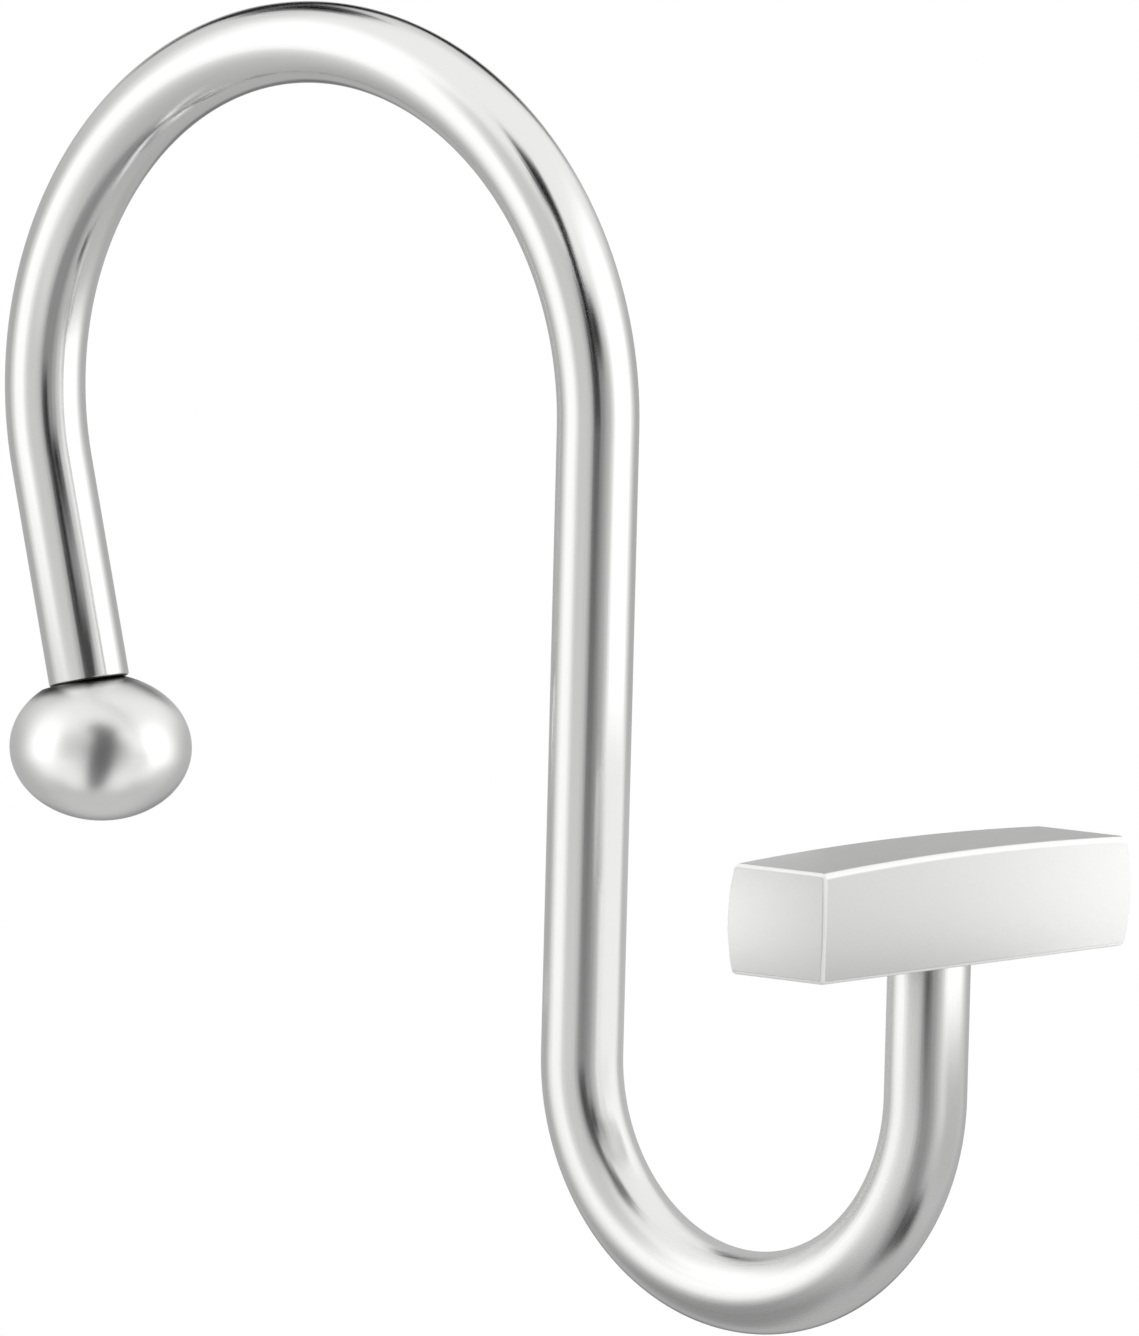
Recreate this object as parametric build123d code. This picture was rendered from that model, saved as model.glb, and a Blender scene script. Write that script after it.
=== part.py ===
from build123d import *
from math import asin, atan2, cos, degrees, radians, sin, sqrt
import os

# Shower curtain hook: a bent wire with a bead on its tip and a bar across its leg.
# Millimetres, +Z up. The wire is bent in the XZ plane and the rod runs along Y.
# The origin is the centre of the bend that hangs over the rod.

# Wire
wire_diameter = 5.0
rod_bend_radius = 22.0        # to the wire's centreline
tip_lean = 14.5               # degrees the rod bend runs on past level, so the tip leans in
tip_length = 13.8             # straight run from the rod bend to the flat cut at the ball
shank_length = 38.0           # straight run between the two bends
curtain_bend_radius = 13.2    # to the wire's centreline
leg_length = 8.3              # straight run from the curtain bend to the bar's underside
cut_edge_break = 0.2          # chamfer round the wire's two cut ends

# Ball on the tip, a flattened bead that sits level on the leaning wire
ball_diameter = 11.3
ball_height = 9.1             # over its two crowns
ball_rim_share = 0.868        # radius round its widest part, as a share of half its height
ball_seat_depth = 0.5         # how deep the flat for the wire's cut end is faced, along the wire

# Spigot turned on the wire's tip and pressed into the ball
spigot_diameter = 2.4
spigot_length = 3.4
spigot_end_gap = 0.3          # from the spigot to the bottom of its hole

# Bar across the leg, measured over its swelling faces
bar_length = 30.0
bar_width = 7.5
bar_height = 7.0
bar_swell = 0.25              # how far the sides and ends stand out at half height
bar_crown = 0.36              # how far the top rises from its ends to its middle
bar_top_radius = 0.45         # rounds the top's two long edges; the ends are cut crisp
bar_socket_depth = 3.5        # blind hole in the underside that takes the leg

# Fits and cuts
fit_clearance = 0.02          # radial, at the spigot and at the leg
cut_overrun = 1.0             # how far a cutter or profile runs on past what it trims

quarter_turn = 90             # degrees
half_turn = 180
from_base = (Align.CENTER, Align.CENTER, Align.MIN)


# The wire's centreline as straight and round runs, from the flat cut at the ball to the bar
def wire_runs():
    rod_bend = CenterArc((0, 0), rod_bend_radius, 0, half_turn + tip_lean)
    tip = Line(rod_bend @ 1, rod_bend @ 1 + (rod_bend % 1) * tip_length)
    curtain_centre = (rod_bend_radius + curtain_bend_radius, -shank_length)
    curtain_bend = CenterArc(curtain_centre, curtain_bend_radius, half_turn, half_turn)
    shank = Line(rod_bend @ 0, curtain_bend @ 0)
    leg = Line(curtain_bend @ 1, curtain_bend @ 1 + (0, leg_length + bar_socket_depth))
    return [Plane.XZ * run for run in (tip, rod_bend, shank, curtain_bend, leg)]


# A blind hole's cutter, from just outside its mouth at the origin up to its flat bottom
def blind_hole(diameter, depth):
    return Pos(0, 0, -cut_overrun) * Cylinder(diameter / 2, depth + cut_overrun, align=from_base)


def make_hook_wire(runs, ball_seat):
    path = Wire(runs)
    section = Plane(origin=path @ 0, z_dir=path % 0) * Circle(wire_diameter / 2)
    wire = sweep(section, path=path)
    for end in (path @ 0, path @ 1):
        cut_face = wire.faces().sort_by_distance(end)[0]
        wire = chamfer(cut_face.edges(), cut_edge_break)
    spigot = Cylinder(spigot_diameter / 2, spigot_length, align=from_base)
    return wire + ball_seat * spigot


# A flattened bead, turned about Z and centred on the tip's line, with a flat faced off for the wire.
# Its rim is one arc, and a wider arc runs on from it over each crown.
def make_end_ball(ball_seat):
    rim_radius = ball_rim_share * ball_height / 2
    rim_offset = ball_diameter / 2 - rim_radius
    rim_rise = ball_height / 2 - rim_radius
    crown_offset = (rim_offset**2 - rim_rise**2) / (2 * rim_rise)
    crown_radius = ball_height / 2 + crown_offset
    meeting_angle = degrees(atan2(crown_offset, rim_offset))
    crown_angle = quarter_turn - meeting_angle
    low_crown = CenterArc((0, crown_offset), crown_radius, -quarter_turn, crown_angle)
    rim = CenterArc((rim_offset, 0), rim_radius, -meeting_angle, 2 * meeting_angle)
    top_crown = CenterArc((0, -crown_offset), crown_radius, meeting_angle, crown_angle)
    axis_line = Line(top_crown @ 1, low_crown @ 0)
    bead = revolve(Plane.XZ * make_face([low_crown, rim, top_crown, axis_line]), axis=Axis.Z)
    lean = radians(tip_lean)
    reach = sqrt(crown_radius**2 - (crown_offset * sin(lean))**2) - crown_offset * cos(lean)
    centre = ball_seat.origin + ball_seat.z_dir * (reach - ball_seat_depth)
    above_seat = Pos(0, 0, -ball_height) * Cylinder(ball_diameter / 2, ball_height, align=from_base)
    hole = blind_hole(spigot_diameter + 2 * fit_clearance, spigot_length + spigot_end_gap)
    return Pos(centre) * bead - ball_seat * above_seat - ball_seat * hole


# The bar seen from its side: flat underside and ends that swell at half height, open at the top
def bar_side_view():
    foot = bar_length / 2 - bar_swell
    end_height = bar_height - bar_crown
    right_end = ThreePointArc((foot, 0), (bar_length / 2, end_height / 2), (foot, end_height))
    right_rise = Line(right_end @ 1, (foot, bar_height + cut_overrun))
    left_end = mirror(right_end, about=Plane.YZ)
    left_rise = mirror(right_rise, about=Plane.YZ)
    above = Line(right_rise @ 1, left_rise @ 1)
    underside = Line(left_end @ 0, right_end @ 0)
    return make_face([underside, right_end, right_rise, above, left_rise, left_end])


# The bar seen from its end: sides that swell at half height and round over into the top
def bar_end_view():
    foot = bar_width / 2 - bar_swell
    right_side = ThreePointArc((foot, 0), (bar_width / 2, bar_height / 2), (foot, bar_height))
    right_drop = Line((foot, -cut_overrun), right_side @ 0)
    left_side = mirror(right_side, about=Plane.YZ)
    left_drop = mirror(right_drop, about=Plane.YZ)
    top = Line(right_side @ 1, left_side @ 1)
    below = Line(left_drop @ 0, right_drop @ 0)
    view = make_face([below, right_drop, right_side, top, left_side, left_drop])
    return fillet(view.vertices().group_by(Axis.Y)[-1], bar_top_radius)


# The end view is swung along the crown of the top and trimmed by the side view
def make_front_bar(leg_end):
    crown_reach = bar_length / 2 - bar_swell
    crown_radius = (crown_reach**2 + bar_crown**2) / (2 * bar_crown)
    crown_axis = Axis((0, 0, bar_height - crown_radius), (1, 0, 0))
    swing = degrees(asin((bar_length / 2 + cut_overrun) / crown_radius))
    first_end = (Plane.XZ * bar_end_view()).rotate(crown_axis, -swing)
    arch = revolve(first_end, axis=crown_axis, revolution_arc=2 * swing)
    trim = extrude(Plane.YZ * bar_side_view(), bar_width / 2 + cut_overrun, both=True)
    bar = arch & trim
    bar -= blind_hole(wire_diameter + 2 * fit_clearance, bar_socket_depth)
    return Pos(leg_end.X, leg_end.Y, leg_end.Z - bar_socket_depth) * bar


runs = wire_runs()
tip, leg = runs[0], runs[-1]
ball_seat = Plane(origin=tip @ 1, x_dir=(0, 1, 0), z_dir=tip % 1)
pieces = {
    "hook_wire": make_hook_wire(runs, ball_seat),
    "end_ball": make_end_ball(ball_seat),
    "front_bar": make_front_bar(leg @ 1),
}

os.makedirs("parts", exist_ok=True)
for name, piece in pieces.items():
    export_step(piece, f"parts/{name}.step")
    print(name, round(piece.volume, 2))
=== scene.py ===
from math import atan2, cos, degrees, hypot, pi, radians, sin, tan

import bmesh
import bpy
from mathutils import Matrix, Quaternion, Vector


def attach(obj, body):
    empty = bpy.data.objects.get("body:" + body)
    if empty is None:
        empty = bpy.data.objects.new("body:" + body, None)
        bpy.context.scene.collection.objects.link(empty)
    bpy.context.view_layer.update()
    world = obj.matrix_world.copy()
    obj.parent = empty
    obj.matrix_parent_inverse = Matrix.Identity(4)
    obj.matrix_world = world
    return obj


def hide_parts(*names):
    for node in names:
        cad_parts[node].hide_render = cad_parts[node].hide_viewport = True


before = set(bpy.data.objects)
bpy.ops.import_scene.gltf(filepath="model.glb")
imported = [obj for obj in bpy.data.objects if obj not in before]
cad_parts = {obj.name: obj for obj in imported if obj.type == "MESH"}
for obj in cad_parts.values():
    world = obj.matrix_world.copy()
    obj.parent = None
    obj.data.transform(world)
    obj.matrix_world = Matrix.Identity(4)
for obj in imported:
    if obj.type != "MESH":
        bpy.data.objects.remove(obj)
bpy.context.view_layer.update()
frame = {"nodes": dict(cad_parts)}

mm = 0.001  # pieces are modelled in millimetres and brought to metres when they are placed
nearly = 0.001  # mm; points closer than this count as one
finishDepth = 0.01 * mm  # how deep the finest marks in the metal go
noiseRange = (0.3, 0.7)  # most values of a noise pattern lie between these
print("frame loaded:", ", ".join(frame["nodes"]))


# sRGB hex to the linear colour that shaders take
def toLinear(hexColour):
    channels = [int(hexColour[i:i + 2], 16) / 255 for i in (1, 3, 5)]
    return [c / 12.92 if c <= 0.04045 else ((c + 0.055) / 1.055) ** 2.4 for c in channels] + [1.0]


# a node with its settings (properties by name, sockets by name or number) and its incoming links
def addNode(tree, kind, settings=None, links=None):
    node = tree.nodes.new(kind)
    for key, value in (settings or {}).items():
        if isinstance(key, str) and hasattr(node, key):
            setattr(node, key, value)
        else:
            node.inputs[key].default_value = value
    for key, source in (links or {}).items():
        tree.links.new(source, node.inputs[key])
    return node


def newMaterial(name):
    material = bpy.data.materials.new(name)
    material.use_nodes = True
    material.node_tree.nodes.clear()
    return material, material.node_tree


# the bmesh goes to metres and into an object at the origin that rides with the hook
def placePiece(bm, name, node, material):
    bmesh.ops.scale(bm, vec=(mm, mm, mm), verts=bm.verts)
    mesh = bpy.data.meshes.new(name)
    bm.to_mesh(mesh)
    bm.free()
    mesh.materials.append(material)
    piece = bpy.data.objects.new(name, mesh)
    bpy.context.scene.collection.objects.link(piece)
    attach(piece, "root")
    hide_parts(node)
    print("placed", name, len(mesh.polygons), "faces")
    return piece


def vertsOf(geom):
    return [part for part in geom if isinstance(part, bmesh.types.BMVert)]


def edgesOf(geom):
    return [part for part in geom if isinstance(part, bmesh.types.BMEdge)]


def openEdges(bm):
    return [edge for edge in bm.edges if edge.is_boundary]


# smooth all over, with a crease where two faces meet at more than so many degrees
def shadeSmooth(bm, crease):
    for face in bm.faces:
        face.smooth = True
    for edge in bm.edges:
        edge.smooth = edge.calc_face_angle(0) < radians(crease)


# round wire, bent in the XZ plane; all in mm and degrees
wire = {
    "diameter": 5.0,
    "rodBend": 22.0,  # bend radii are to the centreline
    "tipLean": 14.5,
    "tip": 13.8,
    "shank": 38.0,
    "curtainBend": 13.2,
    "leg": 11.8,  # 8.3 in sight and 3.5 in the bar
    "edgeBreak": 0.2,
    "edgeSteps": 3,
    "spigot": 2.4,
    "spigotLength": 3.4,
    "around": 72,
    "bendStep": 2.0,
    "crease": 40,
    "colour": "#ebebea",
    "rough": 0.16,
    "lowRough": 0.25,  # round the lower bend
    "dullFrom": 118.0,  # where the change begins and ends, along the wire from the tip's cut
    "dullTo": 142.0,
    "lineWide": 0.25,  # drawn coarser than the real lines, which are too fine to show
    "lineLong": 33.3,
    "lineRough": 0.05,  # how much rougher or smoother a line is than the rest
    "lineBump": 0.6,
}

rodTurn = radians(180 + wire["tipLean"])
tipAway = Vector((cos(rodTurn), 0, sin(rodTurn)))  # from the rod's axis through the end of its bend
tipRun = Vector((-sin(rodTurn), 0, cos(rodTurn)))  # the way the tip runs down to the ball
bendEnd = tipAway * wire["rodBend"]
tipCut = bendEnd + tipRun * wire["tip"]
curtainCentre = Vector((wire["rodBend"] + wire["curtainBend"], 0, -wire["shank"]))
legX = curtainCentre.x + wire["curtainBend"]


# where a point lay on the straight stock before bending: along it from the tip's cut, in plane, across
def onStraightStock(point):
    x, y, z = point
    rodStart = wire["tip"] + wire["rodBend"] * rodTurn
    bendStart = rodStart + wire["shank"]
    legStart = bendStart + wire["curtainBend"] * pi
    if z < curtainCentre.z:
        turned = atan2(curtainCentre.z - z, curtainCentre.x - x)
        reach = hypot(curtainCentre.z - z, curtainCentre.x - x)
        return Vector((bendStart + wire["curtainBend"] * turned, wire["curtainBend"] - reach, y))
    if x > curtainCentre.x:
        return Vector((legStart + z - curtainCentre.z, legX - x, y))
    if x > 0 and z < 0:
        return Vector((rodStart - z, x - wire["rodBend"], y))
    past = (Vector(point) - bendEnd).dot(tipRun)
    if x < 0 and z < 0 and past > 0:
        return Vector((wire["tip"] - past, (Vector(point) - bendEnd).dot(tipAway), y))
    turned = atan2(z, x) % (2 * pi)
    return Vector((rodStart - wire["rodBend"] * turned, hypot(x, z) - wire["rodBend"], y))


def bendRing(bm, ring, centre, angle):
    steps = round(degrees(abs(angle)) / wire["bendStep"])
    turned = bmesh.ops.spin(bm, geom=ring, cent=centre, axis=(0, 1, 0), angle=angle, steps=steps)
    return edgesOf(turned["geom_last"])


def pullRing(bm, ring, move):
    pulled = bmesh.ops.extrude_edge_only(bm, edges=ring)["geom"]
    bmesh.ops.translate(bm, vec=move, verts=vertsOf(pulled))
    return edgesOf(pulled)


# flat cut across an open end, with its rim broken
def cutEnd(bm, ring):
    face = bmesh.ops.contextual_create(bm, geom=ring)["faces"][0]
    rim = bmesh.ops.bevel(bm, geom=list(face.edges), offset=wire["edgeBreak"], offset_type="OFFSET",
                          affect="EDGES", segments=wire["edgeSteps"], profile=0.5, material=-1)
    faces = rim["faces"] + [f for v in rim["verts"] for f in v.link_faces]
    return max(faces, key=lambda f: f.calc_area())


def buildWire(material):
    bm = bmesh.new()
    start = bmesh.ops.create_circle(bm, radius=wire["diameter"] / 2, segments=wire["around"])["verts"]
    bmesh.ops.translate(bm, vec=(wire["rodBend"], 0, 0), verts=start)  # the top of the shank
    ring = list(bm.edges)
    tipEnd = pullRing(bm, bendRing(bm, ring, (0, 0, 0), -rodTurn), tipRun * wire["tip"])
    low = pullRing(bm, ring, (0, 0, -wire["shank"]))
    legEnd = pullRing(bm, bendRing(bm, low, curtainCentre, -pi), (0, 0, wire["leg"]))
    cutEnd(bm, legEnd)
    cutFace = cutEnd(bm, tipEnd)
    inset = (wire["diameter"] - wire["spigot"]) / 2 - wire["edgeBreak"]
    bmesh.ops.inset_individual(bm, faces=[cutFace], thickness=inset)
    spigot = bmesh.ops.extrude_discrete_faces(bm, faces=[cutFace])["faces"][0]
    bmesh.ops.translate(bm, vec=tipRun * wire["spigotLength"], verts=spigot.verts)
    bmesh.ops.recalc_face_normals(bm, faces=bm.faces)
    stock = bm.verts.layers.float_vector.new("stock")
    for vert in bm.verts:
        vert[stock] = onStraightStock(vert.co)
    shadeSmooth(bm, wire["crease"])
    return placePiece(bm, "bent_wire", "hook_wire", material)


# an open outline is joined to a round mouth, which is sunk to a flat-bottomed hole
def drillHole(bm, outline, mouthAt, diameter, depth):
    sides = len(outline)
    mouth = bmesh.ops.create_circle(bm, radius=diameter / 2, segments=sides, matrix=mouthAt)["verts"]
    mouthEdges = list({edge for vert in mouth for edge in vert.link_edges})
    bmesh.ops.bridge_loops(bm, edges=outline + mouthEdges)
    wall = bmesh.ops.extrude_edge_only(bm, edges=mouthEdges)["geom"]
    bmesh.ops.translate(bm, vec=mouthAt.to_3x3() @ Vector((0, 0, depth)), verts=vertsOf(wall))
    bmesh.ops.contextual_create(bm, geom=edgesOf(wall))


# flattened bead that sits level on the leaning tip
ball = {
    "diameter": 11.3,
    "height": 9.1,
    "seatDepth": 0.5,  # how deep the flat for the wire's cut end goes, along the wire
    "hole": 2.44,
    "holeDepth": 3.7,
    "around": 128,
    "crease": 15,
    "colour": "#ebebea",
    "rough": (0.3, 0.36),
    "pitsPerMm": 7,  # drawn coarser than the real pits, which are too fine to show
    "pitBump": 0.04,
    # painted shade: a dark colour round the wire's foot
    "paintedShadeColour": "#3a3a39",
    "paintedShadeFrom": 0.1,  # mm below the seat, between which the painted shade under the wire's foot fades out
    "paintedShadeTo": 0.75,
}


def buildBall(material):
    lean = radians(wire["tipLean"])
    flat = ball["height"] / ball["diameter"]
    bm = bmesh.new()
    bmesh.ops.create_uvsphere(bm, u_segments=ball["around"], v_segments=ball["around"] // 2,
                              radius=ball["diameter"] / 2)
    bmesh.ops.scale(bm, vec=(1, 1, flat), verts=bm.verts)
    reach = ball["diameter"] / 2 / hypot(sin(lean), cos(lean) / flat)  # from its centre up the tip's line
    bmesh.ops.translate(bm, vec=tipCut + tipRun * (reach - ball["seatDepth"]), verts=bm.verts)
    bmesh.ops.bisect_plane(bm, geom=list(bm.verts) + list(bm.edges) + list(bm.faces), dist=nearly,
                           plane_co=tipCut, plane_no=-tipRun, clear_outer=True)
    seatAt = Matrix.Translation(tipCut) @ tipRun.to_track_quat("Z", "Y").to_matrix().to_4x4()
    # the depth below the seat drives the painted shade round the wire's foot
    depthBelowSeat = bm.verts.layers.float.new("depthBelowSeat")  # how far each point lies below the seat, mm
    for vert in bm.verts:
        vert[depthBelowSeat] = (vert.co - tipCut).dot(tipRun)
    drillHole(bm, openEdges(bm), seatAt, ball["hole"], ball["holeDepth"])
    bmesh.ops.recalc_face_normals(bm, faces=bm.faces)
    shadeSmooth(bm, ball["crease"])
    return placePiece(bm, "tip_ball", "end_ball", material)


# solid bar across the leg; its sides and ends swell at half height and its top is crowned
bar = {
    "length": 30.0,
    "width": 7.5,
    "height": 7.0,
    "swell": 0.25,
    "crown": 0.36,
    "topEdge": 0.45,
    "endEdge": 0.28,
    "underEdge": 0.28,
    "edgeSteps": 5,
    "socket": 5.04,
    "socketDepth": 3.5,
    "socketRim": 0.3,  # what is cleared round the socket before it is joined to the underside
    "cellsAlong": 32,
    "cellsAcross": 8,
    "cellsUp": 7,
    "crease": 40,
    "colour": "#c8c8c7",
    "rough": (0.44, 0.56),
    "grainPerMm": 6,  # drawn coarser than the real grain, which is too fine to show
    "grainBump": 0.1,
    # painted highlight: a lighter colour along every edge
    "paintedHighlightColour": "#fafaf9",
    "rubbedRough": 0.3,  # what the rubbing adds
    "rubAndHighlightFrom": 0.985,  # how squarely the surface faces one way, where the rubbing and the painted highlight begin and are full
    "rubAndHighlightTo": 0.88,
}


def buildBar(material):
    width, length, height = bar["width"], bar["length"], bar["height"]
    bm = bmesh.new()
    for z in (0, height):
        sheet = bmesh.ops.create_grid(bm, x_segments=bar["cellsAcross"], y_segments=bar["cellsAlong"],
                                      size=0.5)["verts"]  # half a side
        bmesh.ops.scale(bm, vec=(width, length, 1), verts=sheet)
        bmesh.ops.translate(bm, vec=(0, 0, z), verts=sheet)
    bmesh.ops.bridge_loops(bm, edges=openEdges(bm))
    uprights = [e for e in bm.edges if abs(e.verts[0].co.z - e.verts[1].co.z) > height / 2]
    bmesh.ops.subdivide_edges(bm, edges=uprights, cuts=bar["cellsUp"] - 1, use_grid_fill=True)

    # each of the twelve edges gets its own rounding, while they are still straight
    weight = bm.edges.layers.float.new("bevel_weight_edge")
    for edge in bm.edges:
        if edge.calc_face_angle(0) < radians(bar["crease"]):
            continue
        middle = (edge.verts[0].co + edge.verts[1].co) / 2
        kind = "topEdge" if middle.z > height - nearly else "underEdge"
        if abs(middle.y) > length / 2 - nearly:
            kind = "endEdge"
        edge[weight] = bar[kind] / bar["topEdge"]

    # sides and ends bow out and the top drops towards its ends
    for vert in bm.verts:
        up = vert.co.z / height
        bulge = bar["swell"] * (1 - (2 * up - 1) ** 2) - bar["swell"]
        vert.co.x *= 1 + 2 * bulge / width
        vert.co.z -= up * bar["crown"] * (2 * vert.co.y / length) ** 2
        vert.co.y *= 1 + 2 * bulge / length

    # round socket in the underside for the leg
    reach = bar["socket"] / 2 + bar["socketRim"]
    centres = {face: face.calc_center_median() for face in bm.faces}
    overSocket = [face for face, at in centres.items()
                  if at.z < nearly and abs(at.x) < reach and abs(at.y) < reach]
    bmesh.ops.delete(bm, geom=overSocket, context="FACES")
    drillHole(bm, openEdges(bm), Matrix.Identity(4), bar["socket"], bar["socketDepth"])
    bmesh.ops.recalc_face_normals(bm, faces=bm.faces)
    shadeSmooth(bm, bar["crease"])
    underside = curtainCentre.z + wire["leg"] - bar["socketDepth"]
    bmesh.ops.translate(bm, vec=(legX, 0, underside), verts=bm.verts)
    piece = placePiece(bm, "cross_bar", "front_bar", material)
    rounding = piece.modifiers.new("rounding", "BEVEL")
    rounding.limit_method = "WEIGHT"
    rounding.width = bar["topEdge"] * mm
    rounding.segments = bar["edgeSteps"]
    rounding.harden_normals = True
    return piece


# one colour running into another; a mix node's colour sockets share their names, so they go by number
def mixColours(tree, share, first, second):
    colours = {"data_type": "RGBA", 6: toLinear(first), 7: toLinear(second)}
    return addNode(tree, "ShaderNodeMix", colours, {0: share}).outputs[2]


# stainless steel wire, drawn and then buffed: soft reflections with fine lines along the wire,
# a little duller round the lower bend
def polishedWire():
    material, tree = newMaterial("polished stainless steel wire")
    stock = addNode(tree, "ShaderNodeAttribute", {"attribute_name": "stock"})
    along = addNode(tree, "ShaderNodeSeparateXYZ", None, {"Vector": stock.outputs["Vector"]})
    perMm = (1 / wire["lineLong"], 1 / wire["lineWide"], 1 / wire["lineWide"])
    lines = addNode(tree, "ShaderNodeMapping", {"Scale": perMm}, {"Vector": stock.outputs["Vector"]})
    drawn = addNode(tree, "ShaderNodeTexNoise", {"Scale": 1.0, "Detail": 4.0, "Roughness": 0.6},
                    {"Vector": lines.outputs["Vector"]})
    dull = addNode(tree, "ShaderNodeMapRange",
                   {"From Min": wire["dullFrom"], "From Max": wire["dullTo"],
                    "To Min": wire["rough"], "To Max": wire["lowRough"]},
                   {"Value": along.outputs["X"]})
    rough = addNode(tree, "ShaderNodeMapRange",
                    {"From Min": noiseRange[0], "From Max": noiseRange[1],
                     "To Min": -wire["lineRough"], "To Max": wire["lineRough"]},
                    {"Value": drawn.outputs["Fac"]})
    both = addNode(tree, "ShaderNodeMath", {"operation": "ADD"},
                   {0: dull.outputs["Result"], 1: rough.outputs["Result"]})
    bump = addNode(tree, "ShaderNodeBump", {"Strength": wire["lineBump"], "Distance": finishDepth},
                   {"Height": drawn.outputs["Fac"]})
    metal = addNode(tree, "ShaderNodeBsdfPrincipled",
                    {"Base Color": toLinear(wire["colour"]), "Metallic": 1.0},
                    {"Roughness": both.outputs["Value"], "Normal": bump.outputs["Normal"]})
    addNode(tree, "ShaderNodeOutputMaterial", None, {"Surface": metal.outputs["BSDF"]})
    return material


# stainless steel bead, tumbled to a satin polish: soft lobes of light, and painted shade, a dark ring in
# the colour, where the wire stands on it
def satinBall():
    material, tree = newMaterial("satin stainless steel")
    place = addNode(tree, "ShaderNodeTexCoord")
    pits = addNode(tree, "ShaderNodeTexNoise", {"Scale": ball["pitsPerMm"] / mm, "Detail": 2.0},
                   {"Vector": place.outputs["Object"]})
    rough = addNode(tree, "ShaderNodeMapRange", {"To Min": ball["rough"][0], "To Max": ball["rough"][1]},
                    {"Value": pits.outputs["Fac"]})
    bump = addNode(tree, "ShaderNodeBump", {"Strength": ball["pitBump"], "Distance": finishDepth},
                   {"Height": pits.outputs["Fac"]})
    # painted shade: the colour darkens just under the wire's foot
    depthBelowSeat = addNode(tree, "ShaderNodeAttribute", {"attribute_name": "depthBelowSeat"})
    outOfPaintedShade = addNode(tree, "ShaderNodeMapRange",
                    {"interpolation_type": "SMOOTHSTEP", "From Min": ball["paintedShadeFrom"],
                     "From Max": ball["paintedShadeTo"]},
                    {"Value": depthBelowSeat.outputs["Fac"]})
    tone = mixColours(tree, outOfPaintedShade.outputs["Result"], ball["paintedShadeColour"], ball["colour"])
    metal = addNode(tree, "ShaderNodeBsdfPrincipled", {"Metallic": 1.0},
                    {"Base Color": tone, "Roughness": rough.outputs["Result"],
                     "Normal": bump.outputs["Normal"]})
    addNode(tree, "ShaderNodeOutputMaterial", None, {"Surface": metal.outputs["BSDF"]})
    return material


# zinc bar plated in satin nickel: even and soft with a fine grain, with a painted highlight, a lighter
# colour, wherever the surface turns from one face to the next, which is also rubbed rougher there
def satinBar():
    material, tree = newMaterial("satin nickel plate")
    place = addNode(tree, "ShaderNodeTexCoord")
    grain = addNode(tree, "ShaderNodeTexNoise", {"Scale": bar["grainPerMm"] / mm, "Detail": 2.0},
                    {"Vector": place.outputs["Object"]})
    bump = addNode(tree, "ShaderNodeBump", {"Strength": bar["grainBump"], "Distance": finishDepth},
                   {"Height": grain.outputs["Fac"]})
    facing = addNode(tree, "ShaderNodeVectorMath", {"operation": "ABSOLUTE"},
                     {"Vector": place.outputs["Normal"]})
    sides = addNode(tree, "ShaderNodeSeparateXYZ", None, {"Vector": facing.outputs["Vector"]})
    upright = addNode(tree, "ShaderNodeMath", {"operation": "MAXIMUM"},
                      {0: sides.outputs["X"], 1: sides.outputs["Y"]})
    square = addNode(tree, "ShaderNodeMath", {"operation": "MAXIMUM"},
                     {0: upright.outputs["Value"], 1: sides.outputs["Z"]})
    rubAndHighlight = addNode(tree, "ShaderNodeMapRange",
                     {"interpolation_type": "SMOOTHSTEP", "From Min": bar["rubAndHighlightFrom"],
                      "From Max": bar["rubAndHighlightTo"]},
                     {"Value": square.outputs["Value"]})
    # painted highlight: the colour turns lighter along the edges
    tone = mixColours(tree, rubAndHighlight.outputs["Result"], bar["colour"], bar["paintedHighlightColour"])
    rough = addNode(tree, "ShaderNodeMapRange", {"To Min": bar["rough"][0], "To Max": bar["rough"][1]},
                    {"Value": grain.outputs["Fac"]})
    matte = addNode(tree, "ShaderNodeMath", {"operation": "MULTIPLY_ADD", 1: bar["rubbedRough"]},
                    {0: rubAndHighlight.outputs["Result"], 2: rough.outputs["Result"]})
    metal = addNode(tree, "ShaderNodeBsdfPrincipled", {"Metallic": 1.0},
                    {"Base Color": tone, "Roughness": matte.outputs["Value"],
                     "Normal": bump.outputs["Normal"]})
    addNode(tree, "ShaderNodeOutputMaterial", None, {"Surface": metal.outputs["BSDF"]})
    return material


buildWire(polishedWire())
tipBall = buildBall(satinBall())
crossBar = buildBar(satinBar())

# the photograph's view, as a long lens sees the hook; degrees and mm
view = {
    "azimuth": 38.796,
    "elevation": 6.236,
    "roll": 1.459,
    "lens": 498.2,
    "distance": 1131.8,  # from the rod bend's centre
    "slideRight": 15.375,
    "slideUp": -16.335,
    "clipFrom": 10,
}

turn, lift, roll = (radians(view[key]) for key in ("azimuth", "elevation", "roll"))
outward = Vector((sin(turn) * cos(lift), -cos(turn) * cos(lift), sin(lift)))
level = Vector((cos(turn), sin(turn), 0))
upright = outward.cross(level)
cameraRight = level * cos(roll) + upright * sin(roll)
cameraUp = upright * cos(roll) - level * sin(roll)
cameraAt = outward * view["distance"] + cameraRight * view["slideRight"] + cameraUp * view["slideUp"]
axes = Matrix((cameraRight, cameraUp, outward)).transposed().to_4x4()
camera = bpy.data.objects.new("camera", bpy.data.cameras.new("camera"))
camera.data.lens = view["lens"]
camera.data.clip_start = view["clipFrom"] * mm
camera.matrix_world = Matrix.Translation(cameraAt * mm) @ axes
bpy.context.scene.collection.objects.link(camera)
bpy.context.scene.camera = camera
bpy.context.scene.view_settings.view_transform = "Standard"
print("camera set")


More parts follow.
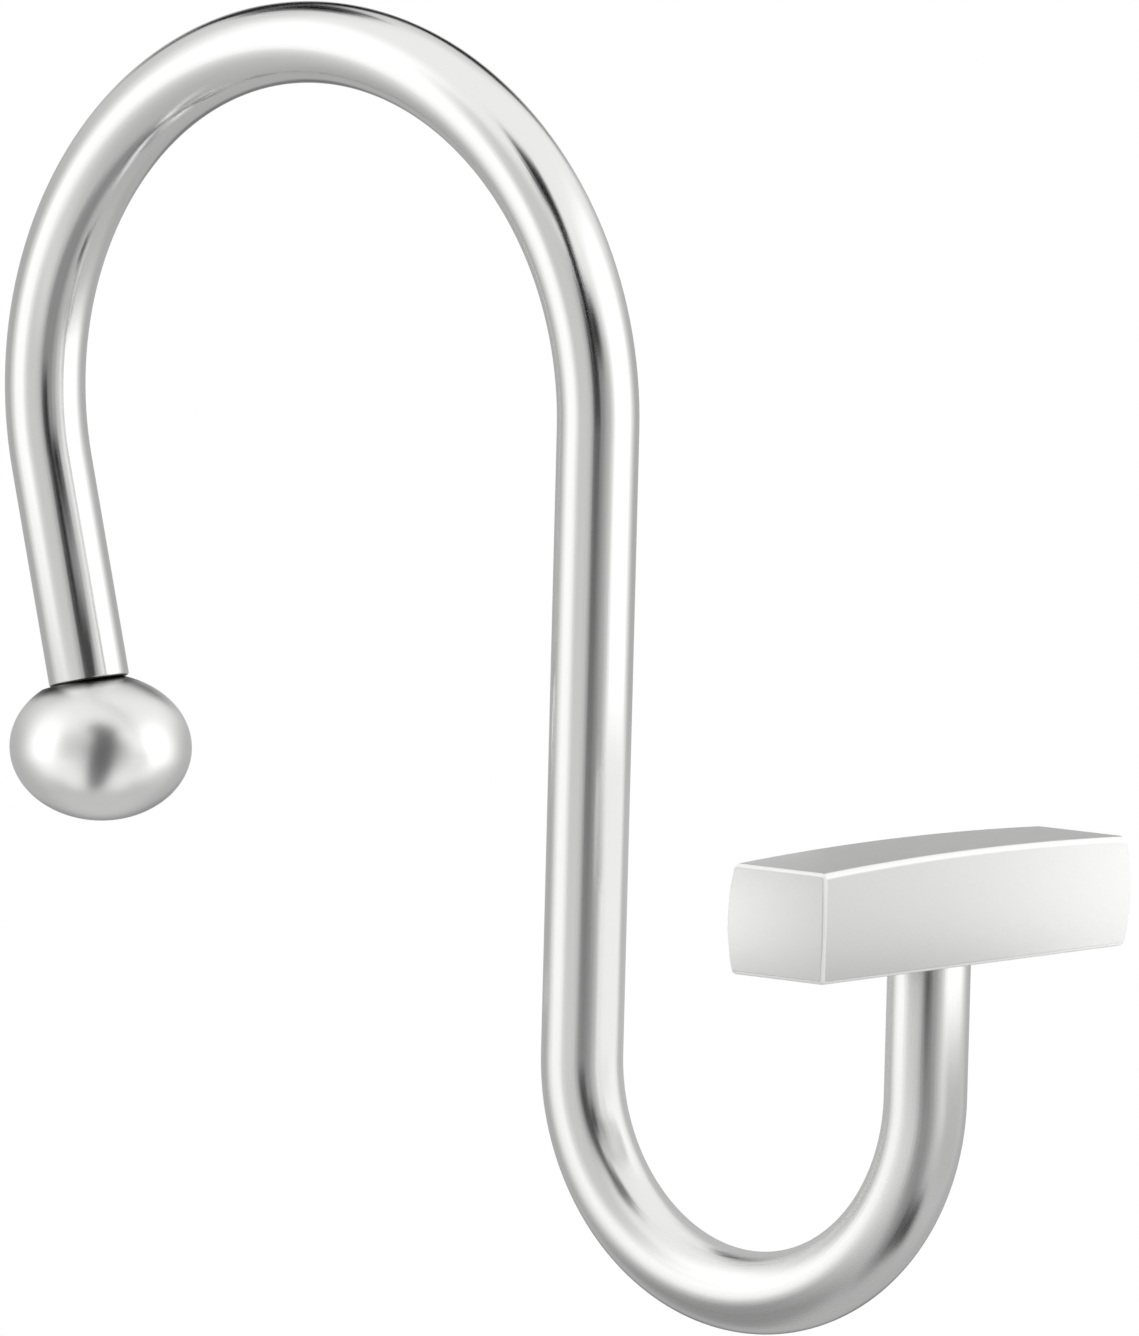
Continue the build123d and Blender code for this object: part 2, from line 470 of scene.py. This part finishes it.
# a place round the hook: degrees to the right of the camera, degrees up, metres away
def roundHook(right, up, away):
    ahead = Vector((sin(turn), -cos(turn), 0))
    side = ahead * cos(radians(right)) + level * sin(radians(right))
    return (side * cos(radians(up)) + Vector((0, 0, sin(radians(up))))) * away


def facingHook(place):
    return Matrix.Translation(place) @ (-place).to_track_quat("-Z", "Y").to_matrix().to_4x4()


# one in the middle and nought at the edges, for a place that runs from 0 to 1 both ways
def softEdges(tree, place, shares):
    sides = addNode(tree, "ShaderNodeSeparateXYZ", None, {"Vector": place})
    falls = []
    for side, share in zip(("X", "Y"), shares):
        off = addNode(tree, "ShaderNodeMath", {"operation": "SUBTRACT", 1: 0.5}, {0: sides.outputs[side]})
        apart = addNode(tree, "ShaderNodeMath", {"operation": "ABSOLUTE"}, {0: off.outputs["Value"]})
        fall = addNode(tree, "ShaderNodeMapRange",
                       {"interpolation_type": "SMOOTHSTEP", "From Min": 0.5, "From Max": 0.5 - share},
                       {"Value": apart.outputs["Value"]})
        falls.append(fall.outputs["Result"])
    both = addNode(tree, "ShaderNodeMath", {"operation": "MULTIPLY"}, {0: falls[0], 1: falls[1]})
    return both.outputs["Value"]


# soft boxes: degrees right of the camera, up, wide and high as the hook sees them, how bright,
# and the one piece that a box lights where it doesn't light them all
softBoxes = {
    "soft_box_left": (-80, 20, 56, 80, 0.28, None),
    "soft_box_right": (76, 10, 80, 90, 0.35, None),
    "ball_box_left": (-66, -10, 64, 100, 0.45, tipBall),
    "ball_box_right": (62, -10, 64, 100, 0.45, tipBall),
    "ball_box_low": (180, -60, 120, 50, 0.35, tipBall),
    "bar_box_left": (-78, -34, 70, 44, 0.3, crossBar),
    "bar_box_right": (102, -34, 70, 44, 0.3, crossBar),
    "bar_box_behind": (180, 24, 90, 50, 2.35, crossBar),
    "bar_box_front": (0, -6, 30, 40, 3.5, crossBar),
}
stageAway = 0.8  # metres from the hook to the soft boxes
boxFade = 0.35  # share of a soft box's width over which its light falls off


def spread(angle):
    return 2 * stageAway * tan(radians(angle / 2))


def lightOnly(light, piece):
    group = bpy.data.collections.new(light.name)
    group.objects.link(piece)
    light.light_linking.receiver_collection = group


for name, (right, up, wide, high, bright, piece) in softBoxes.items():
    lamp = bpy.data.lights.new(name, "AREA")
    lamp.shape = "RECTANGLE"
    lamp.size, lamp.size_y = spread(wide), spread(high)
    lamp.energy = bright * pi * lamp.size * lamp.size_y  # as bright whatever its size
    lamp.use_nodes = True
    tree = lamp.node_tree
    tree.nodes.clear()
    place = addNode(tree, "ShaderNodeNewGeometry")
    fade = softEdges(tree, place.outputs["Parametric"], (boxFade, boxFade))
    glow = addNode(tree, "ShaderNodeEmission", None, {"Strength": fade})
    addNode(tree, "ShaderNodeOutputLight", None, {"Surface": glow.outputs["Emission"]})
    box = bpy.data.objects.new(name, lamp)
    box.matrix_world = facingHook(roundHook(right, up, stageAway))
    bpy.context.scene.collection.objects.link(box)
    if piece:
        lightOnly(box, piece)

# three small lamps close to the bar that light it alone: place, aim and side in mm, and watts
closeLamps = {
    "kicker_far_end": ((61.6, 34.6, -27.6), (50, 20, -26), 30, 0.0026),
    "kicker_near_end": ((34.9, -24.3, -27.3), (43.5, -13, -26), 12, 0.00045),
    "kicker_inside": ((30, 2, -26), (45, 2, -26), 20, 0.0012),
}
for name, (at, aim, side, watts) in closeLamps.items():
    lamp = bpy.data.lights.new(name, "AREA")
    lamp.size = side * mm
    lamp.energy = watts
    kicker = bpy.data.objects.new(name, lamp)
    facing = (Vector(aim) - Vector(at)).to_track_quat("-Z", "Y").to_matrix().to_4x4()
    kicker.matrix_world = Matrix.Translation(Vector(at) * mm) @ facing
    kicker.visible_camera = False
    bpy.context.scene.collection.objects.link(kicker)
    lightOnly(kicker, crossBar)

cardCells = (24, 16)


# a card that only the metal in front of it sees, with edges that fade out
def hangCard(name, tone, fades, placing):
    material, tree = newMaterial(name)
    place = addNode(tree, "ShaderNodeTexCoord")
    clear = addNode(tree, "ShaderNodeBsdfTransparent")
    glow = addNode(tree, "ShaderNodeEmission", {"Color": toLinear(tone), "Strength": 1.0})
    side = addNode(tree, "ShaderNodeNewGeometry")
    front = addNode(tree, "ShaderNodeMath", {"operation": "SUBTRACT", 0: 1.0},
                    {1: side.outputs["Backfacing"]})
    shown = addNode(tree, "ShaderNodeMath", {"operation": "MULTIPLY"},
                    {0: softEdges(tree, place.outputs["UV"], fades), 1: front.outputs["Value"]})
    mixed = addNode(tree, "ShaderNodeMixShader", None,
                    {0: shown.outputs["Value"], 1: clear.outputs["BSDF"], 2: glow.outputs["Emission"]})
    addNode(tree, "ShaderNodeOutputMaterial", None, {"Surface": mixed.outputs["Shader"]})
    bm = bmesh.new()
    bm.loops.layers.uv.new("card")
    bmesh.ops.create_grid(bm, x_segments=cardCells[0], y_segments=cardCells[1], size=0.5, calc_uvs=True)
    for vert in bm.verts:
        vert.co = placing(vert.co)
    mesh = bpy.data.meshes.new(name)
    bm.to_mesh(mesh)
    bm.free()
    mesh.materials.append(material)
    card = bpy.data.objects.new(name, mesh)
    card.visible_camera = False
    card.visible_diffuse = False
    card.visible_shadow = False
    bpy.context.scene.collection.objects.link(card)


# cards bent round the hook for the metal to mirror: degrees right of the camera, up, wide and high,
# the degrees over which their edges fade, and their tone; the first hang nearest
cards = {
    "flag_front": (0, 19, 24, 58, 8, "#040404"),
    "flag_right": (17, 17, 26, 22, 9, "#101010"),
    "flag_high": (-5, 46, 40, 30, 10, "#060606"),
    "card_front": (3, -24, 66, 120, 24, "#929292"),
    "card_right": (28, -16, 50, 100, 24, "#c0c0c0"),
    "card_left": (-38, 8, 60, 70, 20, "#d6d6d6"),
    "flag_behind": (181, 25, 62, 29, 9, "#080808"),
    "flag_crescent": (-157, 46, 36, 30, 8, "#080808"),
    "flag_low": (178, -27, 50, 32, 12, "#787878"),
    "card_behind": (183, -22, 174, 114, 36, "#b6b6b6"),
    "card_high": (-165, 35, 120, 70, 26, "#e0e0e0"),
}
# the first card's distance and the step to the next, as shares of stageAway
cardsFrom, cardsApart = 0.88, 0.015

for layer, (name, (right, up, wide, high, fade, tone)) in enumerate(cards.items()):
    away = stageAway * (cardsFrom + cardsApart * layer)
    hangCard(name, tone, (fade / wide, fade / high),
             lambda cell: roundHook(right - cell.x * wide, up + cell.y * high, away))

# flat cards close to the lower bend, the leg, the shank and the ball: place, aim, width and height in mm,
# the degrees that they lean, the share of a side over which they fade, and tone
nearCards = {
    "card_under": ((5, -22, -95), (35, 0, -52), 110, 90, 0, 0.35, "#949494"),
    "flag_under": ((66, -9, -72), (46, 0, -45), 30, 26, 0, 0.35, "#202020"),
    "card_leg": ((62.4, 7.7, -45), (48.4, 0, -45), 34, 32, 0, 0.35, "#c0c0c0"),
    "card_bend": ((20.2, 18.8, -33.3), (35.2, 0, -33.3), 44, 32, 0, 0.3, "#c4c4c4"),
    "card_shank": ((27.5, 1.7, -29.5), (22, 1.7, -29.5), 9, 31, 0, 0.25, "#ffffff"),
    "card_below": ((-16.8, 0, -39), (-16.8, 0, -22.9), 26, 26, 0, 0.35, "#cccccc"),
    "flag_ball": ((-10.1, -9.4, -34), (-17.3, -0.4, -34), 6, 50, 7, 0.15, "#404040"),
    "card_ball": ((-10.3, -11.3, -45), (-18.4, -1.2, -45), 46, 48, 0, 0.25, "#ffffff"),
}
for name, (at, aim, wide, high, lean, fade, tone) in nearCards.items():
    middle = Vector(at) * mm
    facing = (Vector(aim) - Vector(at)).to_track_quat("Z", "Y") @ Quaternion((0, 0, 1), radians(lean))
    hangCard(name, tone, (fade, fade),
             lambda cell: middle + facing @ Vector((cell.x * wide, cell.y * high, 0)) * mm)

# pale floor well below the hanging hook, which runs out into the white backdrop; in metres
floor = {
    "drop": -0.8,
    "reach": 12.0,
    "sides": 64,
    "paleTo": 0.3,
    "whiteFrom": 3.2,
    "tone": "#c8c8c8",
    "rough": 0.9,
}
material, tree = newMaterial("pale floor")
place = addNode(tree, "ShaderNodeTexCoord")
reach = addNode(tree, "ShaderNodeVectorMath", {"operation": "LENGTH"}, {"Vector": place.outputs["Object"]})
fade = addNode(tree, "ShaderNodeMapRange", {"From Min": floor["paleTo"], "From Max": floor["whiteFrom"]},
               {"Value": reach.outputs["Value"]})
paper = addNode(tree, "ShaderNodeBsdfPrincipled",
                {"Base Color": toLinear(floor["tone"]), "Roughness": floor["rough"]})
glow = addNode(tree, "ShaderNodeEmission", {"Strength": 1.0})
mixed = addNode(tree, "ShaderNodeMixShader", None,
                {0: fade.outputs["Result"], 1: paper.outputs["BSDF"], 2: glow.outputs["Emission"]})
addNode(tree, "ShaderNodeOutputMaterial", None, {"Surface": mixed.outputs["Shader"]})
bm = bmesh.new()
bmesh.ops.create_circle(bm, cap_ends=True, radius=floor["reach"], segments=floor["sides"])
bmesh.ops.translate(bm, vec=(0, 0, floor["drop"]), verts=bm.verts)
mesh = bpy.data.meshes.new("floor")
bm.to_mesh(mesh)
bm.free()
mesh.materials.append(material)
ground = bpy.data.objects.new("floor", mesh)
bpy.context.scene.collection.objects.link(ground)

# white all round for what the camera and the metal see, and a softer fill for the floor
fillStrength = 0.75
world = bpy.data.worlds.new("studio")
world.use_nodes = True
tree = world.node_tree
tree.nodes.clear()
path = addNode(tree, "ShaderNodeLightPath")
seen = addNode(tree, "ShaderNodeMath", {"operation": "MAXIMUM"},
               {0: path.outputs["Is Camera Ray"], 1: path.outputs["Is Glossy Ray"]})
clear = addNode(tree, "ShaderNodeMath", {"operation": "MAXIMUM"},
                {0: seen.outputs["Value"], 1: path.outputs["Is Transmission Ray"]})
fill = addNode(tree, "ShaderNodeBackground", {"Strength": fillStrength})
white = addNode(tree, "ShaderNodeBackground", {"Color": toLinear("#ffffff"), "Strength": 1.0})
both = addNode(tree, "ShaderNodeMixShader", None,
               {0: clear.outputs["Value"], 1: fill.outputs["Background"], 2: white.outputs["Background"]})
addNode(tree, "ShaderNodeOutputWorld", None, {"Surface": both.outputs["Shader"]})
bpy.context.scene.world = world
print("studio set")
